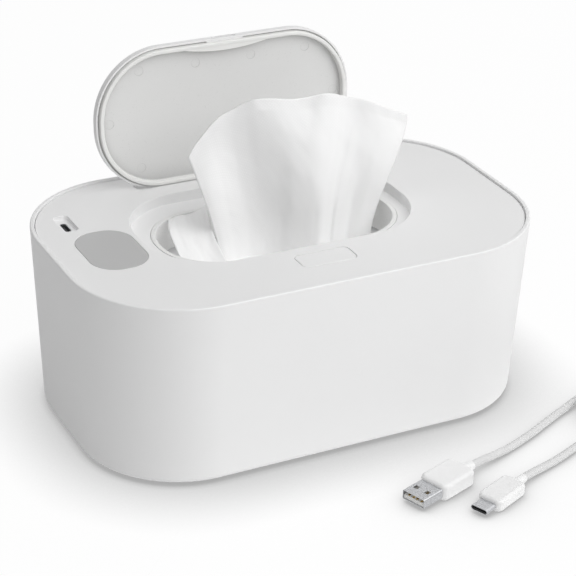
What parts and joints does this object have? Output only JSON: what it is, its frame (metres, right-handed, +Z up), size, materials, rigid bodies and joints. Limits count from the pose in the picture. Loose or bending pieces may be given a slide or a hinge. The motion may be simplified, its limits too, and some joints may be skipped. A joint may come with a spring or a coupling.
{
  "type": "baby wipe warmer",
  "caption": "Rounded double-walled warmer box for wet wipes, with a sprung oval lid, push latch, touch window and a loose USB lead.",
  "frame": {"origin": "centre of the base, on the plane the rubber feet stand on", "axes": "+X to the right along the long side, +Y to the back where the lid hinges, +Z up"},
  "size_m": [0.2761, 0.2064, 0.1532],
  "materials": {
    "white_plastic": "fine satin",
    "inner_plastic": "satin",
    "gloss_white": "gloss",
    "foam": "closed-cell foam",
    "rubber": "matt",
    "silicone": "matt",
    "window_grey": "satin",
    "aluminium": "rolled",
    "film": "polyimide film",
    "board": "solder mask",
    "black_plastic": "matt",
    "steel": "plated",
    "spring_steel": "bright",
    "gold": "gold plated",
    "sensor": "glass bead",
    "lead_red": "insulation",
    "cord_white": "soft",
    "tie_grey": "matt",
    "wipe": "nonwoven"
  },
  "bodies": {
    "base": {"outer_shell": "white_plastic", "inner_tub": "inner_plastic", "insulation_cup": "foam", "rubber_feet": "rubber", "tub_gasket": "silicone", "wipe_stack": "wipe", "usb_a_shell": "steel", "usb_a_tongue": "gloss_white", "usb_a_contacts": "gold", "usb_a_grip": "cord_white", "usb_c_shell": "steel", "usb_c_contacts": "black_plastic", "usb_c_grip": "cord_white", "cord_to_usb_a": "cord_white", "cord_coil": "cord_white", "cord_to_usb_c": "cord_white", "cord_tie": "tie_grey"},
    "cover": {"top_cover": "white_plastic", "inner_cover": "inner_plastic", "well_ring": "gloss_white", "heating_plate": "aluminium", "heater_film": "film", "thermistor": "sensor", "thermal_fuse": "steel", "control_board": "board", "light_baffle": "black_plastic", "touch_window": "window_grey", "usb_board": "board", "usb_c_socket": "steel", "socket_tongue": "black_plastic", "heater_leads": "lead_red", "cover_screws": "steel", "board_screws": "steel", "hinge_pin": "steel", "lid_spring": "spring_steel", "latch_spring": "spring_steel", "pop_up_wipe": "wipe", "next_wipe": "wipe"},
    "lid": {"lid_shell": "white_plastic", "lid_liner": "gloss_white", "lid_seal": "silicone"},
    "button": {"latch_button": "white_plastic"},
    "slider": {"latch_slider": "inner_plastic"}
  },
  "joints": [
    {"name": "cover_lift", "type": "slide", "parent": "base", "child": "cover", "axis": [0, 0, 1], "range_m": [0, 0.12]},
    {"name": "lid_hinge", "type": "hinge", "parent": "cover", "child": "lid", "pos_m": [-0.0028, 0.0463, 0.0762], "axis": [1, 0, 0], "range_deg": [0, 93], "stiffness_Nm_per_rad": 0.006, "springref_deg": -68.75, "deforming": ["lid_spring", "pop_up_wipe"]},
    {"name": "button_press", "type": "slide", "parent": "cover", "child": "button", "axis": [0, 0, -1], "range_m": [0, 0.002], "stiffness_N_per_m": 150, "springref_m": -0.0015},
    {"name": "latch_slide", "type": "slide", "parent": "cover", "child": "slider", "axis": [0, -1, 0], "range_m": [0, 0.002], "stiffness_N_per_m": 150, "springref_m": -0.0015, "deforming": ["latch_spring"]}
  ],
  "couplings": [
    {"joint": "latch_slide", "follows": "button_press", "ratio": 1}
  ]
}
